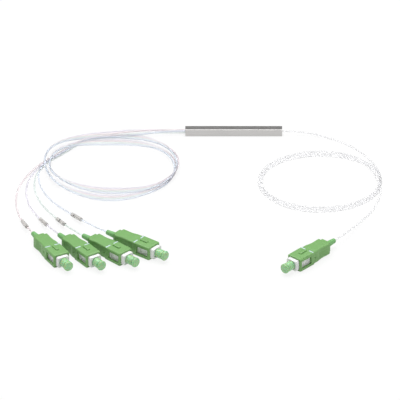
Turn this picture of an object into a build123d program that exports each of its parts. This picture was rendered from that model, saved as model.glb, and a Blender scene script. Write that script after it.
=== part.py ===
from build123d import *
import math
import os

os.makedirs("parts", exist_ok=True)

# All sizes in millimetres. The origin is under the middle of the steel tube, on the surface it lies on.
# +X points to the input end, +Y away from the plugs, +Z up.

# Steel tube
tube_length = 50.0
tube_side = 4.0
tube_wall = 0.4
tube_corner_radius = 0.5
tube_inside_radius = 0.1

# Splitter chip and the two fibre blocks glued to its ends, inside the tube
chip_length = 12.0
input_block_length = 6.0
output_block_length = 8.0
chip_width = 2.4
chip_base_height = 1.6
chip_lid_height = 1.0
chip_end_angle = 8.0
block_offset = 2.0

# Epoxy plugs in the tube's ends
seal_length = 5.0
seal_recess = 0.2

# Bare fibre and ribbon between the blocks and the epoxy
bare_fibre_diameter = 0.25
ribbon_width = 1.1
ribbon_thickness = 0.3
ribbon_edge_radius = 0.147

# How far a cutting tool runs past the face that it opens
overrun = 1.0

# Cords
cord_diameter = 0.9
output_count = 4
arc_share = 0.45
exit_pitch = 0.96

# Number sleeves on the output tails
sleeve_length = 8.4
sleeve_outer_diameter = 2.2
sleeve_clearance = 0.07

# Grip of a plug, front face to rear neck
grip_length = 24.8
grip_width = 9.0
grip_height = 7.4
grip_edge_radius = 0.8
grip_front_chamfer = 0.3
grip_head_length = 10.6
grip_waist_width = 8.4
grip_waist_height = 7.0
grip_scoop_start = 13.7
grip_scoop_middle = 18.4
grip_scoop_end = 21.2
grip_scoop_width = 7.2
grip_scoop_height = 6.6
grip_heel_width = 8.2
grip_heel_height = 6.3
grip_heel_length = 2.0
grip_neck_width = 5.9
grip_neck_height = 5.7
step_length = 0.3
key_width = 1.6
key_length = 4.6
key_height = 0.6
key_nose = 0.35
key_setback = 4.3
window_length = 7.4
window_height = 4.0
window_post = 0.95
mark_length = 0.8
mark_width = 3.1
mark_gap = 2.2
mark_depth = 0.15
mark_setback = 9.7
dimple_diameter = 1.3
dimple_depth = 0.3
dimple_setback = 11.6
grip_travel = 1.5

# Inner frame of a plug
frame_width = 6.6
frame_height = 5.6
frame_length = 18.0
frame_overhang = 2.0
frame_chamfer = 0.7
frame_clearance = 0.08
frame_front_bore = 4.7
frame_front_depth = 5.9
frame_shoulder = 0.5
frame_rear_bore = 4.6
latch_length = 5.8
latch_height = 3.8
latch_depth = 0.5
latch_bump_length = 2.2
latch_bump_height = 2.7
latch_root = 0.1
latch_setback = 4.3
lug_width = 2.4
lug_length = 1.6
lug_height = 0.3
lug_setback = 7.0

# Ferrule, its flange and its spring
ferrule_diameter = 2.5
ferrule_length = 10.5
ferrule_reach = 3.9
ferrule_chamfer = 0.4
ferrule_end_angle = 8.0
ferrule_travel = 1.0
flange_diameter = 4.4
flange_flats = 4.0
flange_length = 2.5
stem_diameter = 2.6
stem_length = 3.6
fibre_bore = 0.5
bore_clearance = 0.15
seat_gap = 0.03
spring_wire = 0.45
spring_turns = 5
spring_mean_diameter = 3.55

# Stop body and boot
stop_front_length = 4.0
stop_fit = 0.03
stop_collar_length = 1.0
stop_collar_diameter = 4.6
stop_stem_length = 6.0
stop_stem_diameter = 3.0
boot_tail_length = 8.3
boot_diameter = 4.5
boot_flange_length = 6.2
boot_base_diameter = 3.6
boot_tip_diameter = 2.5
boot_tip_edge = 0.3
boot_bore = 0.54
boot_clearance = 0.2
boot_cord_depth = 5.0
boot_cord_clearance = 0.05

# Dust cap
cap_reach = 6.3
cap_insert = 4.4
cap_diameter = 4.3
cap_bore_clearance = 0.02
cap_end_wall = 1.6
cap_skirt_edge = 0.2
cap_end_edge = 0.7
cap_groove_diameter = 3.7
cap_groove_length = 0.6
cap_knob_diameter = 4.8
cap_knob_length = 1.4

# Where each plug lies: the boot's tip in plan and the heading of the plug's nose, in degrees
plug_places = [
    (-102.8, -107.9, -61.4),
    (-89.4, -109.3, -55.3),
    (-77.2, -110.3, -45.4),
    (-65.0, -106.7, -39.1),
    (51.3, -115.2, -131.6),
]

# Sizes that follow from the ones above
cord_radius = cord_diameter / 2
tube_inside = tube_side - 2 * tube_wall
tube_axis_height = tube_side / 2
seal_face = tube_length / 2 - seal_recess
seal_inner_face = seal_face - seal_length
chip_height = chip_base_height + chip_lid_height
chip_floor = tube_axis_height - chip_base_height
plug_axis_height = grip_height / 2
frame_rear = frame_overhang - frame_length
shoulder_front = frame_overhang - frame_front_depth
shoulder_rear = shoulder_front - frame_shoulder
flange_front = shoulder_rear - seat_gap
flange_rear = flange_front - flange_length
stop_front = frame_rear + stop_front_length
stop_rear = frame_rear - stop_collar_length
stem_rear = stop_rear - stop_stem_length
boot_tip_setback = boot_tail_length - stem_rear
cavity_width = frame_width + 2 * frame_clearance
cavity_height = frame_height + 2 * frame_clearance

# The two coils: middle, outer and inner half widths, and heights of their turns
input_coil_middle = (44.4, -49.4)
input_coil_outer = (32.3, 31.6)
input_coil_inner = (29.9, 26.5)
input_coil_side_height = 1.9
output_coil_middle = (-62.8, -33.65)
output_coil_outer = (34.4, 35.25)
output_coil_inner = (31.5, 22.0)
output_coil_side_height = 3.7
coil_flat_height = 1.9
coil_flat_share = 0.5

# Middle lines of the free stretches of cord. Each tail goes on along its plug's axis into the boot.
floor_line = cord_radius + 0.01
input_lead_route = [
    (36.5, 0.0, 1.75),
    (47.5, -3.6, 0.7),
    (57.6, -10.0, floor_line),
    (66.0, -19.6, floor_line),
    (72.4, -31.5, floor_line),
    (75.3, -42.0, floor_line),
]
input_tail_route = [
    (75.2, -44.0, 1.4),
    (76.3, -56.5, 1.1),
    (74.3, -69.5, floor_line),
    (70.4, -81.5, floor_line),
    (63.6, -93.5, 1.0),
]
output_lead_routes = [
    [(-34.0, 0.52, 2.42), (-44.0, 0.6, 2.25), (-53.0, 0.25, 1.6), (-58.0, -0.3, 1.42)],
    [(-34.0, 0.75, 1.6), (-44.0, 1.45, 1.65), (-53.0, 1.75, 1.5), (-58.0, 1.3, 1.42)],
    [(-34.0, -0.5, 1.5), (-44.0, -1.0, 1.6), (-50.0, -1.5, 1.5)],
    [(-34.0, -0.9, 2.4), (-44.0, -2.3, 2.1), (-49.0, -3.0, 1.6)],
]
output_tail_routes = [
    [
        (-94.0, -19.5, 1.40),
        (-98.1, -28.5, 1.40),
        (-101.9, -36.5, 1.40),
        (-106.3, -44.0, 0.8),
        (-110.3, -54.0, floor_line),
        (-112.0, -66.0, floor_line),
        (-111.3, -78.0, floor_line),
        (-109.4, -88.5, 1.1),
    ],
    [
        (-94.2, -19.2, floor_line),
        (-98.4, -28.5, floor_line),
        (-102.4, -38.5, floor_line),
        (-106.0, -49.5, floor_line),
        (-106.9, -62.0, floor_line),
        (-105.0, -75.0, floor_line),
        (-100.2, -87.5, 1.1),
    ],
    [
        (-93.3, -19.5, floor_line),
        (-97.3, -28.5, floor_line),
        (-101.0, -40.0, floor_line),
        (-102.8, -50.5, floor_line),
        (-101.9, -62.0, floor_line),
        (-98.3, -74.0, floor_line),
        (-92.3, -86.5, 1.2),
    ],
    [
        (-93.1, -19.8, 1.40),
        (-97.1, -28.5, 1.40),
        (-100.3, -38.0, 1.40),
        (-100.5, -49.0, 0.6),
        (-97.8, -60.5, floor_line),
        (-92.2, -72.0, floor_line),
        (-83.8, -83.5, 1.2),
    ],
]
tail_straight = [4.5, 7.0, 8.0, 9.0, 8.0]
sleeve_back = [3.6, 6.1, 8.8, 10.0]


def rounded_bar(length, side, radius):
    """A square bar along X with rounded long edges, centred on the origin."""
    return Rot(0, 90, 0) * extrude(RectangleRounded(side, side, radius), length / 2, both=True)


def steel_tube():
    """Square stainless tube, open at both ends, standing on its lower face."""
    outside = rounded_bar(tube_length, tube_side, tube_corner_radius)
    inside = rounded_bar(tube_length + overrun, tube_inside, tube_inside_radius)
    return Pos(0, 0, tube_axis_height) * (outside - inside)


def end_seal(side):
    """Epoxy that fills the tube's end. side is +1 at the input and -1 at the output."""
    plug = rounded_bar(seal_length, tube_inside, tube_inside_radius)
    return Pos(side * (seal_face - seal_length / 2), 0, tube_axis_height) * plug


def chip_piece(x_low, x_high, lean_low, lean_high):
    """A block on the tube's floor whose ends lean by the polishing angle where lean is 1."""
    rise = math.tan(math.radians(chip_end_angle)) * chip_height
    corners = [
        (x_low, chip_floor),
        (x_high, chip_floor),
        (x_high + lean_high * rise, chip_floor + chip_height),
        (x_low + lean_low * rise, chip_floor + chip_height),
    ]
    outline = Plane.XZ * make_face(Polyline(*corners, close=True))
    return extrude(outline, chip_width / 2, both=True)


def fibre_pieces():
    """The chip, the fibre blocks on its ends and the bare fibre that runs from them to the epoxy."""
    chip_low = block_offset - chip_length / 2
    chip_high = block_offset + chip_length / 2
    block_low = chip_low - output_block_length
    block_high = chip_high + input_block_length
    chip = chip_piece(chip_low, chip_high, 1, 1)
    output_block = chip_piece(block_low, chip_low, 0, 1)
    input_block = chip_piece(chip_high, block_high, 1, 0)
    fibre_run = seal_inner_face - block_high
    fibre_start = Pos(block_high, 0, tube_axis_height)
    fibre = fibre_start * Rot(0, 90, 0) * extrude(Circle(bare_fibre_diameter / 2), fibre_run)
    ribbon_run = block_low + seal_inner_face
    ribbon_start = Pos(-seal_inner_face, 0, tube_axis_height)
    ribbon_section = RectangleRounded(ribbon_thickness, ribbon_width, ribbon_edge_radius)
    ribbon = ribbon_start * Rot(0, 90, 0) * extrude(ribbon_section, ribbon_run)
    return chip, input_block, output_block, fibre, ribbon


def corner_radii(points):
    """The largest arcs that the runs of a route leave room for, one for each corner."""
    radii = []
    for before, here, after in zip(points, points[1:], points[2:]):
        run_in = Vector(*here) - Vector(*before)
        run_out = Vector(*after) - Vector(*here)
        turn = math.radians(run_in.get_angle(run_out))
        radii.append(arc_share * min(run_in.length, run_out.length) / math.tan(turn / 2))
    return radii


def cord_tube(name, points):
    """A stretch of cord: straight runs joined by tangent arcs."""
    radii = corner_radii(points)
    path = FilletPolyline(*points, radius=radii)
    section = Plane(origin=path @ 0, z_dir=path % 0) * Circle(cord_radius)
    tube = sweep(section, path=path)
    expected = math.pi * cord_radius**2 * path.length
    smallest = min(radii)
    share = tube.volume / expected
    print(f"{name}: length {path.length:.1f}, smallest radius {smallest:.1f}, volume share {share:.4f}")
    return tube


def coil(middle, outer, inner, side_height):
    """A coil as one ring: wide and flat far and near, narrow and as tall as side_height at its sides."""
    outer_x, outer_y = outer
    inner_x, inner_y = inner
    flat_x = outer_x * coil_flat_share
    top_line = [
        (-outer_x, 0),
        (outer_x, 0),
        (outer_x, side_height),
        (inner_x, side_height),
        (flat_x, coil_flat_height),
        (-flat_x, coil_flat_height),
        (-inner_x, side_height),
        (-outer_x, side_height),
    ]
    profile = Plane.XZ * make_face(Polyline(*top_line, close=True))
    arch = extrude(profile, outer_y + overrun, both=True)
    ring = extrude(Ellipse(outer_x, outer_y) - Ellipse(inner_x, inner_y), side_height)
    return Pos(*middle) * (ring & arch)


def plug_frame_of_reference(index):
    """Places a plug modelled with its grip's front face at x = 0, its nose along +X and its axis at z = 0."""
    tip_x, tip_y, heading = plug_places[index]
    turn = math.radians(heading)
    front_x = tip_x + boot_tip_setback * math.cos(turn)
    front_y = tip_y + boot_tip_setback * math.sin(turn)
    return Location((front_x, front_y, plug_axis_height), (0, 0, heading))


def on_plug_axis(index, x):
    """A point on a plug's axis, x ahead of its grip's front face."""
    place = plug_frame_of_reference(index) * Pos(x, 0, 0)
    return tuple(place.position)


def rounded_section(x, width, height, radius=grip_edge_radius):
    """A rounded rectangle across the plug's axis."""
    return Plane(origin=(x, 0, 0), x_dir=(0, 1, 0), z_dir=(1, 0, 0)) * RectangleRounded(width, height, radius)


def block(x_low, x_high, width, height, y=0.0, z=0.0):
    """A box between two places on the plug's axis."""
    return Pos((x_low + x_high) / 2, y, z) * Box(x_high - x_low, width, height)


def bar(x_low, x_high, diameter):
    """A round bar between two places on the plug's axis."""
    return Pos((x_low + x_high) / 2, 0, 0) * Rot(0, 90, 0) * Cylinder(diameter / 2, x_high - x_low)


def grip_skin():
    """The grip's outside: square head, stepped waist, hollow finger scoop, flared heel and neck."""
    heel_rear = grip_scoop_end + grip_heel_length
    neck_front = heel_rear + step_length
    waist_start = grip_head_length + step_length
    head = loft(
        [
            rounded_section(0, grip_width - 2 * grip_front_chamfer, grip_height - 2 * grip_front_chamfer),
            rounded_section(-grip_front_chamfer, grip_width, grip_height),
            rounded_section(-grip_head_length, grip_width, grip_height),
            rounded_section(-waist_start, grip_waist_width, grip_waist_height),
            rounded_section(-grip_scoop_start, grip_waist_width, grip_waist_height),
        ],
        ruled=True,
    )
    scoop = loft(
        [
            rounded_section(-grip_scoop_start, grip_waist_width, grip_waist_height),
            rounded_section(-grip_scoop_middle, grip_scoop_width, grip_scoop_height),
            rounded_section(-grip_scoop_end, grip_heel_width, grip_heel_height),
        ]
    )
    heel = loft(
        [
            rounded_section(-grip_scoop_end, grip_heel_width, grip_heel_height),
            rounded_section(-heel_rear, grip_heel_width, grip_heel_height),
            rounded_section(-neck_front, grip_neck_width, grip_neck_height),
            rounded_section(-grip_length, grip_neck_width, grip_neck_height),
        ],
        ruled=True,
    )
    return head + scoop + heel


def grip():
    """Push-pull grip: it slides on the inner frame, guided by the frame's lugs in two grooves."""
    body = grip_skin()
    key = block(-key_setback - key_length, -key_setback, key_width, 2 * key_height, z=grip_height / 2)
    key_front_edge = key.edges().filter_by(Axis.Y).group_by(Axis.Z)[-1].sort_by(Axis.X)[-1]
    body += chamfer(key_front_edge, key_nose)
    cavity_rear = frame_rear - frame_clearance
    body -= block(cavity_rear, overrun, cavity_width, cavity_height)
    body -= bar(-grip_length - overrun, cavity_rear + overrun, boot_diameter + 2 * boot_clearance)
    window_front = -window_post
    body -= block(window_front - window_length, window_front, 2 * grip_width, window_height)
    groove_height = cavity_height + 2 * lug_height
    groove_rear = -lug_setback - lug_length - frame_clearance
    groove_front = -lug_setback + grip_travel + frame_clearance
    body -= block(groove_rear, groove_front, lug_width + 2 * frame_clearance, groove_height)
    for side in (-1, 1):
        mark_y = side * (mark_gap + mark_width) / 2
        mark_rear = -mark_setback - mark_length
        body -= block(mark_rear, -mark_setback, mark_width, 2 * mark_depth, y=mark_y, z=grip_height / 2)
        dimple_place = Pos(-dimple_setback, side * grip_waist_width / 2, 0) * Rot(90, 0, 0)
        body -= dimple_place * Cylinder(dimple_diameter / 2, 2 * dimple_depth)
    return body


def plug_frame():
    """White inner housing: nose with a round bore, a ramped latch pocket in each side, lugs, rear bore."""
    body = block(frame_rear, frame_overhang, frame_width, frame_height)
    body = chamfer(body.edges().filter_by(Axis.X), frame_chamfer)
    body -= bar(shoulder_front, frame_overhang + overrun, frame_front_bore)
    body -= bar(shoulder_rear - overrun, shoulder_front + overrun, ferrule_diameter + 2 * bore_clearance)
    body -= bar(frame_rear - overrun, shoulder_rear, frame_rear_bore)
    for side in (-1, 1):
        pocket_y = side * frame_width / 2
        pocket_low = -latch_setback - latch_length / 2
        pocket_high = -latch_setback + latch_length / 2
        body -= block(pocket_low, pocket_high, 2 * latch_depth, latch_height, y=pocket_y)
        ramp_root = side * (frame_width / 2 - latch_depth - latch_root)
        ramp = [
            (-latch_setback - latch_bump_length / 2, ramp_root),
            (-latch_setback + latch_bump_length / 2, ramp_root),
            (-latch_setback - latch_bump_length / 2, pocket_y),
        ]
        body += extrude(make_face(Polyline(*ramp, close=True)), latch_bump_height / 2, both=True)
        lug_z = side * frame_height / 2
        body += block(-lug_setback - lug_length, -lug_setback, lug_width, 2 * lug_height, z=lug_z)
    return body


def ferrule():
    """Ceramic ferrule with an angled end, pressed in a metal flange with a hollow stem."""
    tip = frame_overhang + ferrule_reach
    body = bar(tip - ferrule_length, tip, ferrule_diameter)
    body = chamfer(body.edges().sort_by(Axis.X)[-1], ferrule_chamfer)
    slope = Rot(0, ferrule_end_angle, 0)
    body -= Pos(tip, 0, 0) * slope * block(0, overrun, 2 * ferrule_diameter, 2 * ferrule_diameter)
    collar = bar(flange_rear, flange_front, flange_diameter)
    collar &= block(flange_rear, flange_front, flange_flats, flange_flats)
    stem = bar(flange_rear - stem_length, flange_rear, stem_diameter)
    return body + collar + stem - bar(flange_rear - stem_length - overrun, flange_rear, fibre_bore)


def spring():
    """Coil spring between the flange and the stop body."""
    low = stop_front + seat_gap + spring_wire / 2
    high = flange_rear - seat_gap - spring_wire / 2
    pitch = (high - low) / spring_turns
    path = Helix(pitch, high - low, spring_mean_diameter / 2)
    section = Plane(origin=path @ 0, z_dir=path % 0) * Circle(spring_wire / 2)
    wire = sweep(section, path=path)
    return Pos(low, 0, 0) * Rot(0, 90, 0) * wire


def stop_body():
    """Rear body: it snaps into the frame, carries the spring in front and the boot behind."""
    body = bar(frame_rear, stop_front, frame_rear_bore - 2 * stop_fit)
    body += bar(stop_rear, frame_rear, stop_collar_diameter)
    body += bar(stem_rear, stop_rear, stop_stem_diameter)
    stem_room_rear = flange_rear - stem_length - ferrule_travel - 2 * bore_clearance
    body -= bar(stem_room_rear, flange_rear, stem_diameter + 2 * bore_clearance)
    return body - bar(stem_rear - overrun, stop_front + overrun, fibre_bore)


def boot():
    """Soft boot, turned in one outline: a flange over the stop body's stem and a taper for the cord."""
    tip = -boot_tip_setback
    flange_rear = stop_rear - boot_flange_length
    cord_bore = cord_radius + boot_cord_clearance
    cord_end = tip + boot_cord_depth
    outline = [
        (stop_rear, stop_stem_diameter / 2),
        (stop_rear, boot_diameter / 2),
        (flange_rear, boot_diameter / 2),
        (flange_rear, boot_base_diameter / 2),
        (tip + boot_tip_edge, boot_tip_diameter / 2),
        (tip, boot_tip_diameter / 2 - boot_tip_edge),
        (tip, cord_bore),
        (cord_end, cord_bore),
        (cord_end, boot_bore / 2),
        (stem_rear, boot_bore / 2),
        (stem_rear, stop_stem_diameter / 2),
    ]
    return revolve(make_face(Polyline(*outline, close=True)), Axis.X)


def dust_cap():
    """Soft cap over the ferrule, turned in one outline: skirt, groove and end knob."""
    tip = frame_overhang + cap_reach
    skirt_rear = frame_overhang - cap_insert
    groove_rear = tip - cap_knob_length - cap_groove_length
    bore_end = tip - cap_end_wall
    bore_radius = ferrule_diameter / 2 + cap_bore_clearance
    outline = [
        (skirt_rear, bore_radius),
        (skirt_rear, cap_diameter / 2 - cap_skirt_edge),
        (skirt_rear + cap_skirt_edge, cap_diameter / 2),
        (groove_rear, cap_diameter / 2),
        (groove_rear, cap_groove_diameter / 2),
        (tip - cap_knob_length, cap_groove_diameter / 2),
        (tip - cap_knob_length, cap_knob_diameter / 2),
        (tip - cap_end_edge, cap_knob_diameter / 2),
        (tip, cap_knob_diameter / 2 - cap_end_edge),
        (tip, 0),
        (bore_end, 0),
        (bore_end, bore_radius),
    ]
    return revolve(make_face(Polyline(*outline, close=True)), Axis.X)


def number_sleeve(index, points):
    """A short clear sleeve that clamps the tail behind its boot."""
    corner = Vector(*points[-2])
    before = Vector(*points[-3])
    heading = (corner - before).normalized()
    middle = corner - heading * sleeve_back[index]
    middle = middle - heading * (sleeve_length / 2)
    ring = Circle(sleeve_outer_diameter / 2) - Circle(cord_radius + sleeve_clearance)
    return extrude(Plane(origin=tuple(middle), z_dir=tuple(heading)) * ring, sleeve_length / 2, both=True)


def tail_points(index, route):
    """A tail's route, finished along its plug's axis into the boot."""
    tip = -boot_tip_setback
    straight_start = on_plug_axis(index, tip - tail_straight[index])
    inside_boot = on_plug_axis(index, tip + boot_cord_depth)
    return route + [straight_start, inside_boot]


def save(shape, name):
    """Writes one piece."""
    export_step(shape, f"parts/{name}.step")


save(steel_tube(), "steel_tube")
save(end_seal(1), "input_end_seal")
save(end_seal(-1), "output_end_seal")
for piece, name in zip(
    fibre_pieces(),
    ["splitter_chip", "input_fibre_block", "output_fibre_block", "input_bare_fibre", "output_ribbon"],
):
    save(piece, name)

input_start = (seal_face, 0, tube_axis_height)
save(cord_tube("input_lead", [input_start] + input_lead_route), "input_lead")
input_ring = coil(input_coil_middle, input_coil_outer, input_coil_inner, input_coil_side_height)
save(input_ring, "input_coil")
save(cord_tube("input_tail", tail_points(output_count, input_tail_route)), "input_tail")

exit_places = [(1, 1), (1, -1), (-1, -1), (-1, 1)]
output_ring = coil(output_coil_middle, output_coil_outer, output_coil_inner, output_coil_side_height)
save(output_ring, "output_coil")
for number in range(output_count):
    across, up = exit_places[number]
    start = (-seal_face, across * exit_pitch / 2, tube_axis_height + up * exit_pitch / 2)
    lead = cord_tube(f"output_lead_{number + 1}", [start] + output_lead_routes[number])
    save(lead, f"output_lead_{number + 1}")
    points = tail_points(number, output_tail_routes[number])
    save(cord_tube(f"output_tail_{number + 1}", points), f"output_tail_{number + 1}")
    save(number_sleeve(number, points), f"number_sleeve_{number + 1}")

plug_pieces = {
    "grip": grip(),
    "plug_frame": plug_frame(),
    "ferrule": ferrule(),
    "spring": spring(),
    "stop_body": stop_body(),
    "boot": boot(),
    "dust_cap": dust_cap(),
}
for index in range(len(plug_places)):
    place = plug_frame_of_reference(index)
    for kind, piece in plug_pieces.items():
        save(place * piece, f"{kind}_{index + 1}")
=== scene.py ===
import math

import bmesh
import bpy
import numpy as np
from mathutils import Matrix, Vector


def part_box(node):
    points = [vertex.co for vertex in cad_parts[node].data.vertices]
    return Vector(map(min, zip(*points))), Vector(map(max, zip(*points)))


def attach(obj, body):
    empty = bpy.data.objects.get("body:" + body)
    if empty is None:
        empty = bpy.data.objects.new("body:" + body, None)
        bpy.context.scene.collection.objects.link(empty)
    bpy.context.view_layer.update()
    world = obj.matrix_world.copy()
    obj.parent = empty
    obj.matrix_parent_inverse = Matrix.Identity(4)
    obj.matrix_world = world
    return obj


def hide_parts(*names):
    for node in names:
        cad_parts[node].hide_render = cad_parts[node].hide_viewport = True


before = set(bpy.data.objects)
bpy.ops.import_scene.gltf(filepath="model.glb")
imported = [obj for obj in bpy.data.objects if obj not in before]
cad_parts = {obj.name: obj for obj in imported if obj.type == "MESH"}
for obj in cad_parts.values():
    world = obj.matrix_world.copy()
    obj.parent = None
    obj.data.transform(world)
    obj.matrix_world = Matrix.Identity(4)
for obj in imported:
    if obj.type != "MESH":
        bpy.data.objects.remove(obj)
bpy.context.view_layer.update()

# The table top, the light and the camera.
# A pale matt table with an even white surround, one soft lamp overhead and one from the right front.
# The camera stands far off with a long lens, 30 degrees above the table.
MM = 0.001
VIEW_ELEVATION = math.radians(30.0)
VIEW_TARGET = np.array([-17.4, -67.6, 0.0]) * MM
VIEW_DISTANCE = 9.12
VIEW_LENS = 1600.0
SENSOR_WIDTH = 36.0
CLIP_RANGE = (0.05, 50.0)
TABLE_SIDE = 6.0
WHITE = (1.0, 1.0, 1.0, 1.0)
TABLE_COLOUR = (0.90, 0.90, 0.90, 1.0)
TABLE_SHARE_OF_WHITE = 0.86
SURROUND_STRENGTH = 0.28
LAMPS = [
    ("overhead_lamp", (-0.10, 0.25, 1.10), 1.3, 19.0),
    ("front_lamp", (0.75, -0.95, 0.75), 0.9, 2.2),
]
CARD_FAR = 0.95
CARD_HALF_WIDTH = 1.6
CARD_LOW = 0.05
CARD_HIGH = 1.25
CARD_COLOUR = (0.06, 0.06, 0.06, 1.0)
CARD_ROUGHNESS = 0.9


def mixed_rays(tree):
    """1 for rays from the camera, off gloss or through glass, which all see plain white; 0 for light."""
    path = tree.nodes.new("ShaderNodeLightPath")
    first = tree.nodes.new("ShaderNodeMath")
    first.operation = "MAXIMUM"
    tree.links.new(path.outputs["Is Camera Ray"], first.inputs[0])
    tree.links.new(path.outputs["Is Glossy Ray"], first.inputs[1])
    second = tree.nodes.new("ShaderNodeMath")
    second.operation = "MAXIMUM"
    tree.links.new(first.outputs[0], second.inputs[0])
    tree.links.new(path.outputs["Is Transmission Ray"], second.inputs[1])
    return second.outputs[0]


world = bpy.data.worlds.new("surround")
world.use_nodes = True
bpy.context.scene.world = world
world_tree = world.node_tree
world_tree.nodes.clear()
surround_light = world_tree.nodes.new("ShaderNodeBackground")
surround_light.inputs["Color"].default_value = WHITE
surround_light.inputs["Strength"].default_value = SURROUND_STRENGTH
surround_white = world_tree.nodes.new("ShaderNodeBackground")
surround_white.inputs["Color"].default_value = WHITE
surround_white.inputs["Strength"].default_value = 1.0
surround_mix = world_tree.nodes.new("ShaderNodeMixShader")
surround_out = world_tree.nodes.new("ShaderNodeOutputWorld")
world_tree.links.new(mixed_rays(world_tree), surround_mix.inputs[0])
world_tree.links.new(surround_light.outputs[0], surround_mix.inputs[1])
world_tree.links.new(surround_white.outputs[0], surround_mix.inputs[2])
world_tree.links.new(surround_mix.outputs[0], surround_out.inputs["Surface"])

table_finish = bpy.data.materials.new("table_finish")
table_finish.use_nodes = True
table_tree = table_finish.node_tree
table_tree.nodes.clear()
table_matt = table_tree.nodes.new("ShaderNodeBsdfDiffuse")
table_matt.inputs["Color"].default_value = TABLE_COLOUR
table_white = table_tree.nodes.new("ShaderNodeEmission")
table_white.inputs["Strength"].default_value = 1.0
table_share = table_tree.nodes.new("ShaderNodeMath")
table_share.operation = "MULTIPLY"
table_share.inputs[1].default_value = TABLE_SHARE_OF_WHITE
table_mix = table_tree.nodes.new("ShaderNodeMixShader")
table_out = table_tree.nodes.new("ShaderNodeOutputMaterial")
table_tree.links.new(mixed_rays(table_tree), table_share.inputs[0])
table_tree.links.new(table_share.outputs[0], table_mix.inputs[0])
table_tree.links.new(table_matt.outputs[0], table_mix.inputs[1])
table_tree.links.new(table_white.outputs[0], table_mix.inputs[2])
table_tree.links.new(table_mix.outputs[0], table_out.inputs["Surface"])


def add_board(name, corners, finish):
    """A flat four-cornered board that belongs to the stage."""
    mesh = bpy.data.meshes.new(name)
    mesh.from_pydata(corners, [], [(0, 1, 2, 3)])
    mesh.materials.append(finish)
    board = bpy.data.objects.new(name, mesh)
    bpy.context.collection.objects.link(board)
    return board


table_corners = np.array([[-1, -1, 0], [1, -1, 0], [1, 1, 0], [-1, 1, 0]]) * TABLE_SIDE / 2
add_board("table_top", table_corners.tolist(), table_finish)

# A dark card stands behind the table for the level steel and plastic to reflect. The camera and light through
# glass don't see it.
card_finish = bpy.data.materials.new("card_finish")
card_finish.use_nodes = True
card_skin = card_finish.node_tree.nodes["Principled BSDF"]
card_skin.inputs["Base Color"].default_value = CARD_COLOUR
card_skin.inputs["Roughness"].default_value = CARD_ROUGHNESS
card_corners = [
    (-CARD_HALF_WIDTH, CARD_FAR, CARD_LOW),
    (CARD_HALF_WIDTH, CARD_FAR, CARD_LOW),
    (CARD_HALF_WIDTH, CARD_FAR, CARD_HIGH),
    (-CARD_HALF_WIDTH, CARD_FAR, CARD_HIGH),
]
dark_card = add_board("dark_card", card_corners, card_finish)
dark_card.visible_camera = False
dark_card.visible_transmission = False

for lamp_name, lamp_place, lamp_side, lamp_power in LAMPS:
    lamp = bpy.data.lights.new(lamp_name, "AREA")
    lamp.size = lamp_side
    lamp.energy = lamp_power
    lamp_object = bpy.data.objects.new(lamp_name, lamp)
    lamp_object.location = lamp_place
    away = np.array(lamp_place) - VIEW_TARGET
    lamp_object.rotation_euler = (
        math.atan2(math.hypot(away[0], away[1]), away[2]),
        0.0,
        math.atan2(away[0], -away[1]),
    )
    bpy.context.collection.objects.link(lamp_object)

camera = bpy.data.cameras.new("camera")
camera.lens = VIEW_LENS
camera.sensor_width = SENSOR_WIDTH
camera.clip_start, camera.clip_end = CLIP_RANGE
camera_object = bpy.data.objects.new("camera", camera)
view_back = np.array([0.0, -math.cos(VIEW_ELEVATION), math.sin(VIEW_ELEVATION)])
camera_object.location = VIEW_TARGET + view_back * VIEW_DISTANCE
camera_object.rotation_euler = (math.pi / 2 - VIEW_ELEVATION, 0.0, 0.0)
bpy.context.collection.objects.link(camera_object)
bpy.context.scene.camera = camera_object
bpy.context.scene.view_settings.view_transform = "Standard"

# The cords: soft loose tube, 0.9 mm thick, over the bare fibre.
# Each is one length from the module into its plug's boot, wound into its coil on the table on the way.
# The outputs are tinted so that they can be told apart; the input is plain.
CORD_DIAMETER = 0.9
ON_TABLE = 0.46
TURN_STEP = 15.0
CORD_BEVEL_STEPS = 4
CORD_POINT_STEPS = 8
PLUG_AXIS_HEIGHT = 3.7
BOOT_TIP_BEHIND = 31.3
CORD_IN_BOOT = 5.0
# Where each boot's tip lies, and its plug's heading in degrees. The last one is the input's.
PLUG_PLACES = [
    (-102.8, -107.9, -61.4),
    (-89.4, -109.3, -55.3),
    (-77.2, -110.3, -45.4),
    (-65.0, -106.7, -39.1),
    (51.3, -115.2, -131.6),
]
INPUT_PLUG = 4
TAIL_STRAIGHT = [4.5, 7.0, 8.0, 9.0, 8.0]
INPUT_LEAD = [
    (24.8, 0.0, 2.0),
    (36.5, 0.0, 1.75),
    (47.5, -3.6, 0.7),
    (57.6, -10.0, ON_TABLE),
    (66.0, -19.6, ON_TABLE),
    (72.4, -31.5, ON_TABLE),
    (75.3, -42.0, ON_TABLE),
]
INPUT_TAIL = [
    (75.9, -56.5, 1.1),
    (74.3, -69.5, ON_TABLE),
    (70.4, -81.5, ON_TABLE),
    (63.6, -93.5, 1.0),
]
OUTPUT_LEADS = [
    [
        (-24.8, 0.48, 2.48),
        (-34.0, 0.52, 2.42),
        (-44.0, 0.6, 2.25),
        (-53.0, 0.25, 1.6),
        (-58.0, -0.3, 1.42),
    ],
    [
        (-24.8, 0.48, 1.52),
        (-34.0, 0.75, 1.6),
        (-44.0, 1.45, 1.65),
        (-53.0, 1.75, 1.5),
        (-58.0, 1.3, 1.42),
    ],
    [(-24.8, -0.48, 1.52), (-34.0, -0.5, 1.5), (-44.0, -1.0, 1.6), (-50.0, -1.5, 1.5)],
    [(-24.8, -0.48, 2.48), (-34.0, -0.9, 2.4), (-44.0, -2.3, 2.1), (-49.0, -3.0, 1.6)],
]
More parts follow.
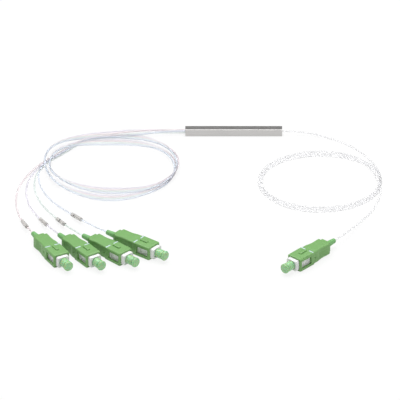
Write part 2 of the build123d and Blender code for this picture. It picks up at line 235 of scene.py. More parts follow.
OUTPUT_TAILS = [
    [
        (-90.00, -21.73, 1.39),
        (-96.35, -28.49, 1.39),
        (-101.9, -36.5, 1.40),
        (-106.3, -44.0, 0.8),
        (-110.3, -54.0, ON_TABLE),
        (-112.0, -66.0, ON_TABLE),
        (-111.3, -78.0, ON_TABLE),
        (-109.4, -88.5, 1.1),
    ],
    [
        (-90.00, -21.73, ON_TABLE),
        (-96.35, -28.49, ON_TABLE),
        (-102.4, -38.5, ON_TABLE),
        (-106.0, -49.5, ON_TABLE),
        (-106.9, -62.0, ON_TABLE),
        (-105.0, -75.0, ON_TABLE),
        (-100.2, -87.5, 1.1),
    ],
    [
        (-89.20, -22.27, ON_TABLE),
        (-95.55, -29.03, ON_TABLE),
        (-101.0, -40.0, ON_TABLE),
        (-102.8, -50.5, ON_TABLE),
        (-101.9, -62.0, ON_TABLE),
        (-98.3, -74.0, ON_TABLE),
        (-92.3, -86.5, 1.2),
    ],
    [
        (-89.20, -22.27, 1.39),
        (-95.55, -29.03, 1.39),
        (-100.3, -38.0, 1.40),
        (-100.5, -49.0, 0.6),
        (-97.8, -60.5, ON_TABLE),
        (-92.2, -72.0, ON_TABLE),
        (-83.8, -83.5, 1.2),
    ],
]


def plug_point(index, x, y=0.0, z=0.0):
    """Places a plug's points, given along, across and above its axis from its grip's front face."""
    tip_x, tip_y, heading = PLUG_PLACES[index]
    turn = math.radians(heading)
    along, across = BOOT_TIP_BEHIND + np.asarray(x, float), np.asarray(y, float)
    place_x = tip_x + along * math.cos(turn) - across * math.sin(turn)
    place_y = tip_y + along * math.sin(turn) + across * math.cos(turn)
    place_z = PLUG_AXIS_HEIGHT + np.asarray(z, float) + np.zeros_like(place_x)
    return np.stack([place_x, place_y, place_z], axis=-1)


def into_boot(index):
    """The last two route points of a cord: on the plug's axis behind the boot, and inside the boot."""
    return plug_point(index, -BOOT_TIP_BEHIND + np.array([-TAIL_STRAIGHT[index], CORD_IN_BOOT]))


def smooth_step(value):
    """Rises from 0 to 1 as value does, level at both ends: three squares less two cubes."""
    share = np.clip(value, 0.0, 1.0)
    return share * share * (3.0 - 2.0 * share)


def hump(angle, middle, half_width):
    """1 at the middle, smoothly down to 0 at half_width degrees from it."""
    return smooth_step(1.0 - np.abs(angle - middle) / half_width)


# A spline cuts inside the corners of its route, so the turns' half widths are divided by this share.
TURN_INSET = (3.0 + math.cos(math.radians(TURN_STEP))) / 4.0
INPUT_COIL_MIDDLE = (44.4, -49.4)
INPUT_COIL_OUTER = np.array([31.7, 31.0])
INPUT_COIL_NARROWING = np.array([0.85, 2.15])
INPUT_TURNS = 3.0
INPUT_CHANGE_FROM, INPUT_CHANGE_SPAN = 0.375, 0.25
INPUT_LIFT_FROM, INPUT_LIFT_SPAN = 1000.0, 70.0
OUTPUT_COIL_MIDDLE = (-62.8, -33.7)
OUTER_LANE = np.array([33.9, 32.15])
INNER_LANE = np.array([32.0, 25.1])
SLOT_PITCH = 1.765
SLOTS = [1, 0, 2, 3]
BUNDLE_HALF = 0.475
BUNDLE_LEVELS = [0, 1, 0, 1]
STACK_PITCH = 0.93
# Angles along the output coil, in degrees; shifts across it and rises in millimetres.
COIL_FROM, COIL_TO = 90.0, 840.0
FIRST_TURN_TO = 300.0
INNER_FROM, INNER_TO, LANE_CHANGE = 325.0, 632.0, 60.0
CROSSINGS, CROSSING_HALF, SECOND_ROUND_FROM = (331.0, 691.0), 80.0, 540.0
LEAVING_FROM, LEAVING_SPAN, LEAVING_SHIFT = 787.0, 35.4, 2.49
COLUMN_PITCH = 1.3
FIRST_TURN_SHIFT = 0.44
BULGE, BULGE_MIDDLE, BULGE_HALF = 0.3, 152.5, 60.7
DRAWN_IN, DRAWN_IN_FROM, DRAWN_IN_SPAN = 0.35, 765.0, 45.0
FIRST_RISE, FIRST_RISE_MIDDLE, FIRST_RISE_HALF = 2.1, 164.3, 57.3
SECOND_RISE, SECOND_RISE_MIDDLE, SECOND_RISE_HALF = 1.16, 505.9, 48.4


def input_turns():
    """Three clockwise turns from the right side, each one narrower than the last and changing at that side.
    A point stands at the half widths times the cosine and sine of its angle."""
    angle = np.arange(TURN_STEP, INPUT_TURNS * 360.0 - 1.5 * TURN_STEP, TURN_STEP)
    turn = np.radians(-angle)
    rounds = angle / 360.0 + 0.5
    lane = np.floor(rounds) - 0.5 + smooth_step((rounds % 1.0 - INPUT_CHANGE_FROM) / INPUT_CHANGE_SPAN)
    lane = np.clip(lane - 0.5, 0.0, INPUT_TURNS - 1.0)
    axes = (INPUT_COIL_OUTER - lane[:, None] * INPUT_COIL_NARROWING) / TURN_INSET
    x = INPUT_COIL_MIDDLE[0] + axes[:, 0] * np.cos(turn)
    y = INPUT_COIL_MIDDLE[1] + axes[:, 1] * np.sin(turn)
    z = ON_TABLE + STACK_PITCH * smooth_step((angle - INPUT_LIFT_FROM) / INPUT_LIFT_SPAN)
    return np.column_stack([x, y, z])


def output_turns(slot):
    """Two turns and a bit, from the far side towards the left. The four cords lie side by side, a slot apart
    along Y. At the coil's sides those slots close up, so there they climb into a stack. The first turn lies
    in the outer lane and the second in the inner one, and they change lanes at the right side in two pairs.
    The last stretch lies inside the first turn, closes up into a bundle and leaves under both turns, which
    rise over it at the left side."""
    angle = np.arange(COIL_FROM, COIL_TO + 1.0, TURN_STEP)
    turn = np.radians(angle)
    first_turn = angle < FIRST_TURN_TO
    inner_share = smooth_step((angle - INNER_FROM) / LANE_CHANGE)
    inner_share = inner_share - smooth_step((angle - INNER_TO) / LANE_CHANGE)
    changing = hump(angle, CROSSINGS[0], CROSSING_HALF) + hump(angle, CROSSINGS[1], CROSSING_HALF)
    leaving = smooth_step((angle - LEAVING_FROM) / LEAVING_SPAN)
    height_rank = (1.0 - changing) * slot + changing * (slot % 2 + 2.0 * (angle > SECOND_ROUND_FROM))
    side = 1 if slot < 2 else -1
    column = changing * (0.5 - slot // 2) * COLUMN_PITCH * STACK_PITCH + leaving * BUNDLE_HALF * side
    aside = np.where(first_turn, FIRST_TURN_SHIFT + BULGE * hump(angle, BULGE_MIDDLE, BULGE_HALF), 0.0)
    aside = aside - DRAWN_IN * smooth_step((angle - DRAWN_IN_FROM) / DRAWN_IN_SPAN) - LEAVING_SHIFT * leaving
    climb = height_rank * (1.0 - np.sin(turn) ** 4) * (1.0 - leaving) + BUNDLE_LEVELS[slot] * leaving
    first_rise = FIRST_RISE * hump(angle, FIRST_RISE_MIDDLE, FIRST_RISE_HALF)
    second_rise = SECOND_RISE * hump(angle, SECOND_RISE_MIDDLE, SECOND_RISE_HALF)
    lifted = np.where(first_turn, first_rise, second_rise)
    axes = OUTER_LANE + inner_share[:, None] * (INNER_LANE - OUTER_LANE)
    axes = axes / TURN_INSET + (aside + column)[:, None]
    x = OUTPUT_COIL_MIDDLE[0] + axes[:, 0] * np.cos(turn)
    y = OUTPUT_COIL_MIDDLE[1] + axes[:, 1] * np.sin(turn) + (1.5 - slot) * SLOT_PITCH * (1.0 - leaving)
    z = ON_TABLE + STACK_PITCH * climb + lifted
    return np.column_stack([x, y, z])


CORD_WAVES, CORD_GRAIN, CORD_DETAIL = 90.0, 2500.0, 2.0
CORD_RELIEF, CORD_RELIEF_STRENGTH = 0.02, 0.08
CORD_ROUGHNESS = 0.34
CORD_INDEX = 1.32
CORD_CLEARNESS = 0.7


def new_finish(name):
    """A new material, its tree, its skin and its object's own coordinates."""
    finish = bpy.data.materials.new(name)
    finish.use_nodes = True
    tree = finish.node_tree
    place = tree.nodes.new("ShaderNodeTexCoord").outputs["Object"]
    return finish, tree, tree.nodes["Principled BSDF"], place


def noise(tree, place, scale, detail):
    """A soft noise over the given coordinates."""
    texture = tree.nodes.new("ShaderNodeTexNoise")
    texture.inputs["Scale"].default_value = scale
    texture.inputs["Detail"].default_value = detail
    tree.links.new(place, texture.inputs["Vector"])
    return texture.outputs["Fac"]


def tint_skin(tree, skin, share, colour, other_colour):
    """Lets a skin's colour wander between two near tints."""
    tint = tree.nodes.new("ShaderNodeMix")
    tint.data_type = "RGBA"
    tint.inputs["A"].default_value = (*colour, 1.0)
    tint.inputs["B"].default_value = (*other_colour, 1.0)
    tree.links.new(share, tint.inputs["Factor"])
    tree.links.new(tint.outputs["Result"], skin.inputs["Base Color"])


def raise_skin(tree, skin, height, strength, depth):
    """Gives a skin a fine relief of the given depth in millimetres."""
    relief = tree.nodes.new("ShaderNodeBump")
    relief.inputs["Strength"].default_value = strength
    relief.inputs["Distance"].default_value = depth * MM
    tree.links.new(height, relief.inputs["Height"])
    tree.links.new(relief.outputs["Normal"], skin.inputs["Normal"])


def cord_finish(name, colour, other_colour):
    """Milky soft tube: two near tints in slow waves along the cord, a satin skin and light that soaks in."""
    finish, tree, skin, place = new_finish(name)
    tint_skin(tree, skin, noise(tree, place, CORD_WAVES, CORD_DETAIL), colour, other_colour)
    raise_skin(tree, skin, noise(tree, place, CORD_GRAIN, CORD_DETAIL), CORD_RELIEF_STRENGTH, CORD_RELIEF)
    skin.inputs["Roughness"].default_value = CORD_ROUGHNESS
    skin.inputs["IOR"].default_value = CORD_INDEX
    skin.inputs["Transmission Weight"].default_value = CORD_CLEARNESS
    return finish


def cord_line(name, points, thickness):
    """A smooth, round, open spline of the given thickness, with the route's points as its control points."""
    curve = bpy.data.curves.new(name, "CURVE")
    curve.dimensions = "3D"
    curve.bevel_depth = thickness / 2 * MM
    curve.bevel_resolution = CORD_BEVEL_STEPS
    curve.use_fill_caps = True
    curve.resolution_u = CORD_POINT_STEPS
    spline = curve.splines.new("NURBS")
    spline.points.add(len(points) - 1)
    weighted = np.column_stack([np.asarray(points) * MM, np.ones(len(points))])
    spline.points.foreach_set("co", weighted.ravel())
    spline.order_u = 3
    spline.use_endpoint_u = True
    line = bpy.data.objects.new(name, curve)
    bpy.context.collection.objects.link(line)
    return line


def centre_line(cord):
    """Points along a cord's middle, in millimetres, read from its spline with the thickness off."""
    bare = cord.data.copy()
    bare.bevel_depth = 0.0
    carrier = bpy.data.objects.new("bare_line", bare)
    mesh = bpy.data.meshes.new_from_object(carrier)
    points = np.empty(len(mesh.vertices) * 3)
    mesh.vertices.foreach_get("co", points)
    bpy.data.meshes.remove(mesh)
    bpy.data.objects.remove(carrier)
    bpy.data.curves.remove(bare)
    return points.reshape(-1, 3) / MM


CORD_TINTS = [
    ("pink_tube", (0.95, 0.87, 0.89), (0.97, 0.91, 0.92)),
    ("lilac_tube", (0.89, 0.87, 0.94), (0.93, 0.91, 0.96)),
    ("green_tube", (0.86, 0.93, 0.90), (0.90, 0.95, 0.93)),
    ("blue_tube", (0.85, 0.89, 0.97), (0.89, 0.92, 0.98)),
    ("clear_tube", (0.95, 0.95, 0.96), (0.97, 0.97, 0.98)),
]
cord_finishes = [cord_finish(*tint) for tint in CORD_TINTS]

output_cords = []
for number, (lead, tail) in enumerate(zip(OUTPUT_LEADS, OUTPUT_TAILS)):
    route = np.vstack([lead, output_turns(SLOTS[number]), tail, into_boot(number)])
    cord = cord_line(f"output_cord_{number + 1}", route, CORD_DIAMETER)
    cord.data.materials.append(cord_finishes[number])
    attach(cord, "root")
    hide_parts(f"output_lead_{number + 1}", "output_coil", f"output_tail_{number + 1}")
    output_cords.append(cord)

input_route = np.vstack([INPUT_LEAD, input_turns(), INPUT_TAIL, into_boot(INPUT_PLUG)])
input_cord = cord_line("input_cord", input_route, CORD_DIAMETER)
input_cord.data.materials.append(cord_finishes[INPUT_PLUG])
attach(input_cord, "root")
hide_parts("input_lead", "input_coil", "input_tail")

# The module: a square stainless tube, drawn and cut square, that protects the glass chip inside.
# It is brushed along its length. Epoxy closes both ends round the cords.
TUBE_CORNER = 0.2
TUBE_BORE_CORNER = 0.1
TUBE_CORNER_STEPS = 5
TUBE_END_EASE = 0.05
STREAK_STRETCH = (14.0, 1500.0, 1500.0)
STREAK_SCALE, STREAK_DETAIL = 3.0, 5.0
STEEL_ROUGHNESS = (0.24, 0.32)
STEEL_RELIEF, STEEL_RELIEF_STRENGTH = 0.006, 0.25
CLOUD_DETAIL, GRAIN_DETAIL = 3.0, 2.0
GRAIN_FINER = 14.0
ROUGHNESS_SPREAD = (-0.05, 0.07)
GRAIN_STRENGTH = 0.2
WELD_DISTANCE, SHORTEST_EDGE = 1e-7, 1e-8
SMOOTH_ANGLE = 40.0
FLAT_SHARE = 0.98


def vary_gloss(tree, skin, share, low, high):
    """Lets a skin's roughness wander between two values."""
    gloss = tree.nodes.new("ShaderNodeMapRange")
    gloss.inputs["To Min"].default_value = low
    gloss.inputs["To Max"].default_value = high
    tree.links.new(share, gloss.inputs["Value"])
    tree.links.new(gloss.outputs["Result"], skin.inputs["Roughness"])


def brushed_steel(name, colour, other_colour):
    """Bare steel: fine streaks drawn out along X in colour, roughness and relief."""
    finish, tree, skin, place = new_finish(name)
    drawn_out = tree.nodes.new("ShaderNodeMapping")
    drawn_out.inputs["Scale"].default_value = STREAK_STRETCH
    tree.links.new(place, drawn_out.inputs["Vector"])
    streaks = noise(tree, drawn_out.outputs["Vector"], STREAK_SCALE, STREAK_DETAIL)
    tint_skin(tree, skin, streaks, colour, other_colour)
    vary_gloss(tree, skin, streaks, *STEEL_ROUGHNESS)
    raise_skin(tree, skin, streaks, STEEL_RELIEF_STRENGTH, STEEL_RELIEF)
    skin.inputs["Metallic"].default_value = 1.0
    return finish


def mottled(name, colour, other_colour, scale, roughness, relief_depth):
    """A finish that wanders between two near colours, with a fine grain in its roughness and relief."""
    finish, tree, skin, place = new_finish(name)
    grain = noise(tree, place, scale * GRAIN_FINER, GRAIN_DETAIL)
    tint_skin(tree, skin, noise(tree, place, scale, CLOUD_DETAIL), colour, other_colour)
    vary_gloss(tree, skin, grain, roughness + ROUGHNESS_SPREAD[0], roughness + ROUGHNESS_SPREAD[1])
    raise_skin(tree, skin, grain, GRAIN_STRENGTH, relief_depth)
    return finish


def give_finish(node_name, finish):
    """Puts one finish on a part that keeps its own shape."""
    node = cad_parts[node_name]
    node.data.materials.clear()
    node.data.materials.append(finish)


def grid_faces(rows, columns, closed_rows=False):
    """Four-cornered faces between neighbouring rows of a grid whose columns close on themselves."""
    row = np.arange(rows if closed_rows else rows - 1)[:, None]
    column = np.arange(columns)[None, :]
    next_row, next_column = (row + 1) % rows, (column + 1) % columns
    corners = [
        row * columns + column,
        next_row * columns + column,
        next_row * columns + next_column,
        row * columns + next_column,
    ]
    return np.stack([np.broadcast_to(c, (row.size, columns)) for c in corners], axis=-1).reshape(-1, 4)


def add_piece(name, vertices, faces, finishes, body, node_name, finish_of_face=None):
    """A mesh object from millimetre points, its doubled points joined and its faces turned outwards. It rides
    on its body in place of the part's own node."""
    mesh = bpy.data.meshes.new(name)
    mesh.from_pydata((np.asarray(vertices).reshape(-1, 3) * MM).tolist(), [], [list(face) for face in faces])
    for finish in finishes:
        mesh.materials.append(finish)
    if finish_of_face is not None:
        mesh.polygons.foreach_set("material_index", np.asarray(finish_of_face, dtype=np.int32))
    shape = bmesh.new()
    shape.from_mesh(mesh)
    bmesh.ops.remove_doubles(shape, verts=shape.verts, dist=WELD_DISTANCE)
    bmesh.ops.dissolve_degenerate(shape, edges=shape.edges, dist=SHORTEST_EDGE)
    bmesh.ops.recalc_face_normals(shape, faces=shape.faces)
    shape.to_mesh(mesh)
    shape.free()
    mesh.shade_smooth()
    mesh.set_sharp_from_angle(angle=math.radians(SMOOTH_ANGLE))
    piece = bpy.data.objects.new(name, mesh)
    bpy.context.collection.objects.link(piece)
    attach(piece, body)
    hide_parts(node_name)
    return piece


def section(half_width, half_height, corner, side_places, top_places, corner_steps):
    """A rounded rectangle as a ring of points: places up each side and across the top and bottom, joined by
    quarter circles whose points stand at the corner radius times the cosine and sine of the angle."""
    rise, reach = half_height - corner, half_width - corner
    up = np.append(np.minimum(side_places, FLAT_SHARE * rise), rise)
    up = np.concatenate([-up[:0:-1], up])
    out = np.append(np.minimum(top_places, FLAT_SHARE * reach), reach)
    out = np.concatenate([out[:0:-1], -out])
    angle = np.linspace(0.0, math.pi / 2, corner_steps + 1)[1:-1]
    quarter = np.column_stack([np.cos(angle), np.sin(angle)]) * corner
    right = np.column_stack([np.full(len(up), half_width), up])
    top = np.column_stack([out, np.full(len(out), half_height)])
    half = np.vstack([right, quarter + (reach, rise), top, quarter[::-1] * (-1, 1) + (-reach, rise)])
    return np.vstack([half, -half])


def square_ring(x, half_width, half_height, corner):
    """One ring of the tube's wall: a rounded rectangle that stands across X, with points close to its corners
    so that the flats stay flat."""
    ring = section(half_width, half_height, corner, [0.0, half_height], [0.0, half_width], TUBE_CORNER_STEPS)
    return np.column_stack([np.full(len(ring), x), ring])


steel = brushed_steel("brushed_steel", (0.50, 0.49, 0.48), (0.60, 0.59, 0.58))
tube_low, tube_high = (np.array(corner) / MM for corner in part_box("steel_tube"))
seal_low, seal_high = (np.array(corner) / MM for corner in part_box("input_end_seal"))
tube_half = (tube_high - tube_low) / 2
bore_half = (seal_high - seal_low) / 2
tube_rings = [
    square_ring(-tube_half[0], tube_half[1] - TUBE_END_EASE, tube_half[2] - TUBE_END_EASE, TUBE_CORNER),
    square_ring(-tube_half[0] + TUBE_END_EASE, tube_half[1], tube_half[2], TUBE_CORNER),
    square_ring(tube_half[0] - TUBE_END_EASE, tube_half[1], tube_half[2], TUBE_CORNER),
    square_ring(tube_half[0], tube_half[1] - TUBE_END_EASE, tube_half[2] - TUBE_END_EASE, TUBE_CORNER),
    square_ring(tube_half[0], bore_half[1], bore_half[2], TUBE_BORE_CORNER),
    square_ring(-tube_half[0], bore_half[1], bore_half[2], TUBE_BORE_CORNER),
]
add_piece(
    "square_tube",
    np.array(tube_rings) + (tube_low + tube_high) / 2,
    grid_faces(len(tube_rings), len(tube_rings[0]), closed_rows=True),
    [steel],
    "root",
    "steel_tube",
)
epoxy = mottled("grey_epoxy", (0.22, 0.21, 0.20), (0.30, 0.29, 0.27), 900.0, 0.35, 0.03)
give_finish("input_end_seal", epoxy)
give_finish("output_end_seal", epoxy)

# The chip and its fibre blocks: fused silica, polished at an angle where they are glued together.
# Bare fibre enters on one side and a four-fibre ribbon leaves on the other. The tube hides them all.
silica = mottled("polished_silica", (0.62, 0.66, 0.68), (0.70, 0.73, 0.74), 500.0, 0.14, 0.005)
coated_fibre = mottled("coated_fibre", (0.60, 0.57, 0.42), (0.68, 0.64, 0.48), 700.0, 0.30, 0.01)
for node_name in ["splitter_chip", "input_fibre_block", "output_fibre_block"]:
    give_finish(node_name, silica)
give_finish("input_bare_fibre", coated_fibre)
give_finish("output_ribbon", coated_fibre)

# The number sleeves: short lengths of clear shrunk tube on the output cords, with a number printed on them.
# Each follows its cord's own line, a little way behind the boot.
SLEEVE_LENGTH = 8.4
SLEEVE_RADIUS = 1.03
SLEEVE_BORE = 0.47
SLEEVE_EDGE = 0.12
SLEEVE_RING = 32
SLEEVE_STATIONS = 25
SLEEVE_CLEARNESS, SLEEVE_INDEX = 0.5, 1.36
NUMERAL_HEIGHT = 1.5
NUMERAL_WIDTH = 0.9
NUMERAL_STROKE = 0.34
NUMERAL_LIFT = 0.02
STROKE_STEPS = 28
LOOK_ALONG = 0.5
SHORTEST_RUN = 1e-6
# Where each numeral starts along its sleeve, in millimetres, and how far round it, in degrees.
NUMERAL_PLACES = [(3.4, 150.0), (3.2, 155.0), (3.15, -42.0), (2.1, -42.0)]
SLEEVE_NUMERALS = ["4", "3", "2", "1"]
NUMERAL_STROKES = {
    "1": [[(0.25, 0.75), (0.55, 1.0), (0.55, 0.0)]],
    "2": [
        [(0.05, 0.75), (0.2, 0.95), (0.5, 1.0), (0.8, 0.95), (0.93, 0.72), (0.8, 0.5)]
        + [(0.02, 0.0), (1.0, 0.0)],
    ],
    "3": [
        [(0.08, 0.9), (0.4, 1.0), (0.75, 0.95), (0.88, 0.75), (0.72, 0.56), (0.35, 0.52)],
        [(0.35, 0.52), (0.78, 0.48), (0.95, 0.25), (0.75, 0.04), (0.4, 0.0), (0.05, 0.1)],
    ],
    "4": [[(0.72, 0.0), (0.72, 1.0), (0.0, 0.3), (1.0, 0.3)]],
}


def reach_along(line):
    """How far along a line each of its points lies."""
    return np.concatenate([[0.0], np.cumsum(np.linalg.norm(np.diff(line, axis=0), axis=1))])


def read_off(where, steps, values):
    """Rows of values read off between their steps by straight interpolation."""
    return np.stack([np.interp(where, steps, column) for column in values.T], axis=-1)


def line_frames(line, start, stop, count):
    """Evenly spaced places on a line from start to stop millimetres along it: the point, the way on, the way
    across and the way up, found by straight interpolation between the line's own points."""
    runs = np.linalg.norm(np.diff(line, axis=0), axis=1)
    line = np.delete(line, np.flatnonzero(runs < SHORTEST_RUN) + 1, axis=0)
    reach = reach_along(line)
    places = np.linspace(start, stop, count)
    onward = read_off(places + LOOK_ALONG, reach, line) - read_off(places - LOOK_ALONG, reach, line)
    onward /= np.linalg.norm(onward, axis=1)[:, None]
    across = np.cross(onward, [0.0, 0.0, 1.0])
    across /= np.linalg.norm(across, axis=1)[:, None]
    return read_off(places, reach, line), onward, across, np.cross(across, onward)


def round_line(frames, profile, ring):
    """A surface turned round a line: at each place a circle of the profile's radius stands across the line,
    pushed along it by the profile's shift. The profile gives place number, shift and radius."""
    points, onward, across, upward = frames
    place, shift, radius = (np.asarray(column, float) for column in zip(*profile))
    place = place.astype(int)
    angle = np.arange(ring) * 2 * math.pi / ring
    centres = points[place] + onward[place] * shift[:, None]
    spread = across[place][:, None] * np.cos(angle)[None, :, None]
    spread = spread + upward[place][:, None] * np.sin(angle)[None, :, None]
    return centres[:, None] + spread * radius[:, None, None]


def numeral_strips(frames, place_step, numeral, shift, turn_degrees):
    """Ribbons for a numeral's strokes, bent round the sleeve: along the line by the stroke's width direction,
    round it by height over radius. Each ribbon stands a hair above the sleeve and has a little thickness."""
    points, _, across, upward = frames
    parts, faces, used = [], [], 0
    for stroke in NUMERAL_STROKES[numeral]:
        corners = np.array(stroke) * (NUMERAL_WIDTH, NUMERAL_HEIGHT)
        runs = reach_along(corners)
        steps = np.linspace(0.0, runs[-1], STROKE_STEPS)
        path = read_off(steps, runs, corners)
        way = np.gradient(path, axis=0)
        way /= np.linalg.norm(way, axis=1)[:, None]
        side = np.column_stack([-way[:, 1], way[:, 0]]) * NUMERAL_STROKE / 2
        edges = np.stack([path + side, path - side, path - side, path + side], axis=1)
        radius = SLEEVE_RADIUS + np.array([NUMERAL_LIFT, NUMERAL_LIFT, -NUMERAL_LIFT, -NUMERAL_LIFT])
        along = shift + edges[..., 0]
        around = math.radians(90.0 - turn_degrees) - (edges[..., 1] - NUMERAL_HEIGHT / 2) / SLEEVE_RADIUS
        centre, aside, overhead = (
            read_off(along / place_step, np.arange(len(points)), rows) for rows in (points, across, upward)
        )
        spread = -aside * np.cos(around)[..., None] + overhead * np.sin(around)[..., None]
        parts.append((centre + spread * radius[None, :, None]).reshape(-1, 3))
        faces.append(grid_faces(len(steps), 4) + used)
        ends = [[3, 2, 1, 0], [4 * (len(steps) - 1) + corner for corner in range(4)]]
        faces.append(np.array(ends) + used)
        used += parts[-1].shape[0]
    return np.vstack(parts), np.vstack(faces)


sleeve_finish = mottled("clear_shrunk_tube", (0.76, 0.74, 0.72), (0.84, 0.82, 0.80), 260.0, 0.22, 0.02)
sleeve_skin = sleeve_finish.node_tree.nodes["Principled BSDF"]
sleeve_skin.inputs["Transmission Weight"].default_value = SLEEVE_CLEARNESS
sleeve_skin.inputs["IOR"].default_value = SLEEVE_INDEX
numeral_ink = mottled("numeral_ink", (0.015, 0.015, 0.017), (0.03, 0.03, 0.035), 900.0, 0.5, 0.01)
for number, cord in enumerate(output_cords):
    node_low, node_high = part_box(f"number_sleeve_{number + 1}")
    node_middle = (np.array(node_low) + np.array(node_high)) / 2 / MM
    line = centre_line(cord)
    middle = reach_along(line)[np.argmin(np.linalg.norm(line - node_middle, axis=1))]
    sleeve_frames = line_frames(line, middle - SLEEVE_LENGTH / 2, middle + SLEEVE_LENGTH / 2, SLEEVE_STATIONS)
    last, shoulder = SLEEVE_STATIONS - 1, SLEEVE_RADIUS - SLEEVE_EDGE
    profile = [(0, 0.0, SLEEVE_BORE), (0, 0.0, shoulder), (0, SLEEVE_EDGE, SLEEVE_RADIUS)]
    profile += [(place, 0.0, SLEEVE_RADIUS) for place in range(1, last)]
    profile += [(last, -SLEEVE_EDGE, SLEEVE_RADIUS), (last, 0.0, shoulder), (last, 0.0, SLEEVE_BORE)]
    profile += [(place, 0.0, SLEEVE_BORE) for place in range(last - 1, 0, -1)]
    tube = round_line(sleeve_frames, profile, SLEEVE_RING)
    tube_faces = grid_faces(len(profile), SLEEVE_RING, closed_rows=True)
    numeral_shift, numeral_turn = NUMERAL_PLACES[number]
    strips, strip_faces = numeral_strips(
        sleeve_frames, SLEEVE_LENGTH / last, SLEEVE_NUMERALS[number], numeral_shift, numeral_turn
    )
    add_piece(
        f"clear_sleeve_{number + 1}",
        np.vstack([tube.reshape(-1, 3), strips]),
        np.vstack([tube_faces, strip_faces + tube.shape[0] * SLEEVE_RING]),
        [sleeve_finish, numeral_ink],
        "root",
        f"number_sleeve_{number + 1}",
        finish_of_face=np.repeat([0, 1], [len(tube_faces), len(strip_faces)]),
    )

# The ferrules: a white ceramic pin with an angled, polished end, pressed in a turned metal flange.
# A spring pushes each one forward in its plug's frame and the stop body holds the spring from behind.
AXIS_RING = 48
EASE_STEPS = 5
FERRULE_TIP = 5.9
FERRULE_OUTLINE = [(-4.6, 0.0, 0.0), (-4.6, 1.25, 0.05), (FERRULE_TIP, 1.25, 0.4), (FERRULE_TIP, 0.0, 0.0)]
FERRULE_END_ZONE = 0.5
FERRULE_SLOPE = math.tan(math.radians(8.0))
FLANGE_OUTLINE = [
    (-4.43, 1.24, 0.0),
    (-4.43, 2.2, 0.15),
    (-6.93, 2.2, 0.15),
    (-6.93, 1.3, 0.05),
    (-10.53, 1.3, 0.1),
    (-10.53, 0.25, 0.0),
    (-7.2, 0.25, 0.0),
    (-7.2, 1.24, 0.0),
]
FLANGE_FLATS = 2.0
STOP_OUTLINE = [
    (-12.0, 1.45, 0.05),
    (-12.0, 2.27, 0.15),
    (-16.0, 2.27, 0.0),
    (-16.0, 2.3, 0.0),
    (-17.0, 2.3, 0.1),
    (-17.0, 1.5, 0.05),
    (-23.0, 1.5, 0.15),
    (-23.0, 0.25, 0.0),
    (-11.68, 0.25, 0.0),
    (-11.68, 1.45, 0.0),
]


def eased(outline):
    """An outline with rounded corners: each is cut off by its own ease on both sides, and the cut follows a
    square curve that leans on the corner."""
    corners = np.array([corner[:2] for corner in outline], float)
    points = []
    for place, (x, radius, ease) in enumerate(outline):
        if ease == 0.0:
            points.append((x, radius))
            continue
        corner = corners[place]
        before = corners[place - 1] - corner
        after = corners[(place + 1) % len(corners)] - corner
        start = corner + before / np.linalg.norm(before) * ease
        end = corner + after / np.linalg.norm(after) * ease
        for share in np.linspace(0.0, 1.0, EASE_STEPS):
            points.append((1 - share) ** 2 * start + 2 * share * (1 - share) * corner + share**2 * end)
    return np.array(points, float)


def turned(outline):
    """An eased outline turned round the plug's axis: a ring of its radius stands at each of its places.
    Gives the rows of points; the first row follows the last."""
    profile = eased(outline)
    angle = np.arange(AXIS_RING) * 2 * math.pi / AXIS_RING
    x = np.repeat(profile[:, :1], AXIS_RING, axis=1)
    return np.stack([x, profile[:, 1:] * np.cos(angle), profile[:, 1:] * np.sin(angle)], axis=-1)


def in_place(index, points):
    """Points of a plug, turned and moved to where the plug lies."""
    return plug_point(index, points[..., 0], points[..., 1], points[..., 2])


def add_turned(index, name, outline, finish, body, node_name):
    """A piece of one finish, turned round its plug's axis."""
    rows = turned(outline)
    faces = grid_faces(len(rows), AXIS_RING, closed_rows=True)
    number = index + 1
    place = in_place(index, rows)
    add_piece(f"{name}_{number}", place, faces, [finish], body, f"{node_name}_{number}")


ceramic = mottled("white_ceramic", (0.80, 0.79, 0.76), (0.86, 0.85, 0.83), 700.0, 0.16, 0.004)
flange_metal = brushed_steel("turned_flange", (0.62, 0.60, 0.57), (0.70, 0.68, 0.66))
spring_steel = mottled("spring_steel", (0.50, 0.50, 0.50), (0.62, 0.62, 0.61), 900.0, 0.28, 0.01)
spring_steel.node_tree.nodes["Principled BSDF"].inputs["Metallic"].default_value = 1.0
rear_plastic = mottled("rear_body_plastic", (0.72, 0.72, 0.70), (0.78, 0.78, 0.77), 500.0, 0.42, 0.02)
pin = turned(FERRULE_OUTLINE)
near_tip = pin[..., 0] > FERRULE_TIP - FERRULE_END_ZONE
slope = np.minimum(pin[..., 2] * FERRULE_SLOPE, 0.0)
pin[..., 0] = np.where(near_tip, np.minimum(pin[..., 0], FERRULE_TIP + slope), pin[..., 0])
collar = turned(FLANGE_OUTLINE)
collar[..., 1:] = np.clip(collar[..., 1:], -FLANGE_FLATS, FLANGE_FLATS)
pin_faces = grid_faces(len(pin), AXIS_RING, closed_rows=True)
collar_faces = grid_faces(len(collar), AXIS_RING, closed_rows=True)
for index in range(len(PLUG_PLACES)):
    add_piece(
        f"ceramic_ferrule_{index + 1}",
        in_place(index, np.vstack([pin.reshape(-1, 3), collar.reshape(-1, 3)])),
        np.vstack([pin_faces, collar_faces + pin.shape[0] * AXIS_RING]),
        [ceramic, flange_metal],
        f"ferrule_{index + 1}",
        f"ferrule_{index + 1}",
        finish_of_face=np.repeat([0, 1], [len(pin_faces), len(collar_faces)]),
    )
    give_finish(f"spring_{index + 1}", spring_steel)
    add_turned(index, "rear_stop", STOP_OUTLINE, rear_plastic, "root", "stop_body")

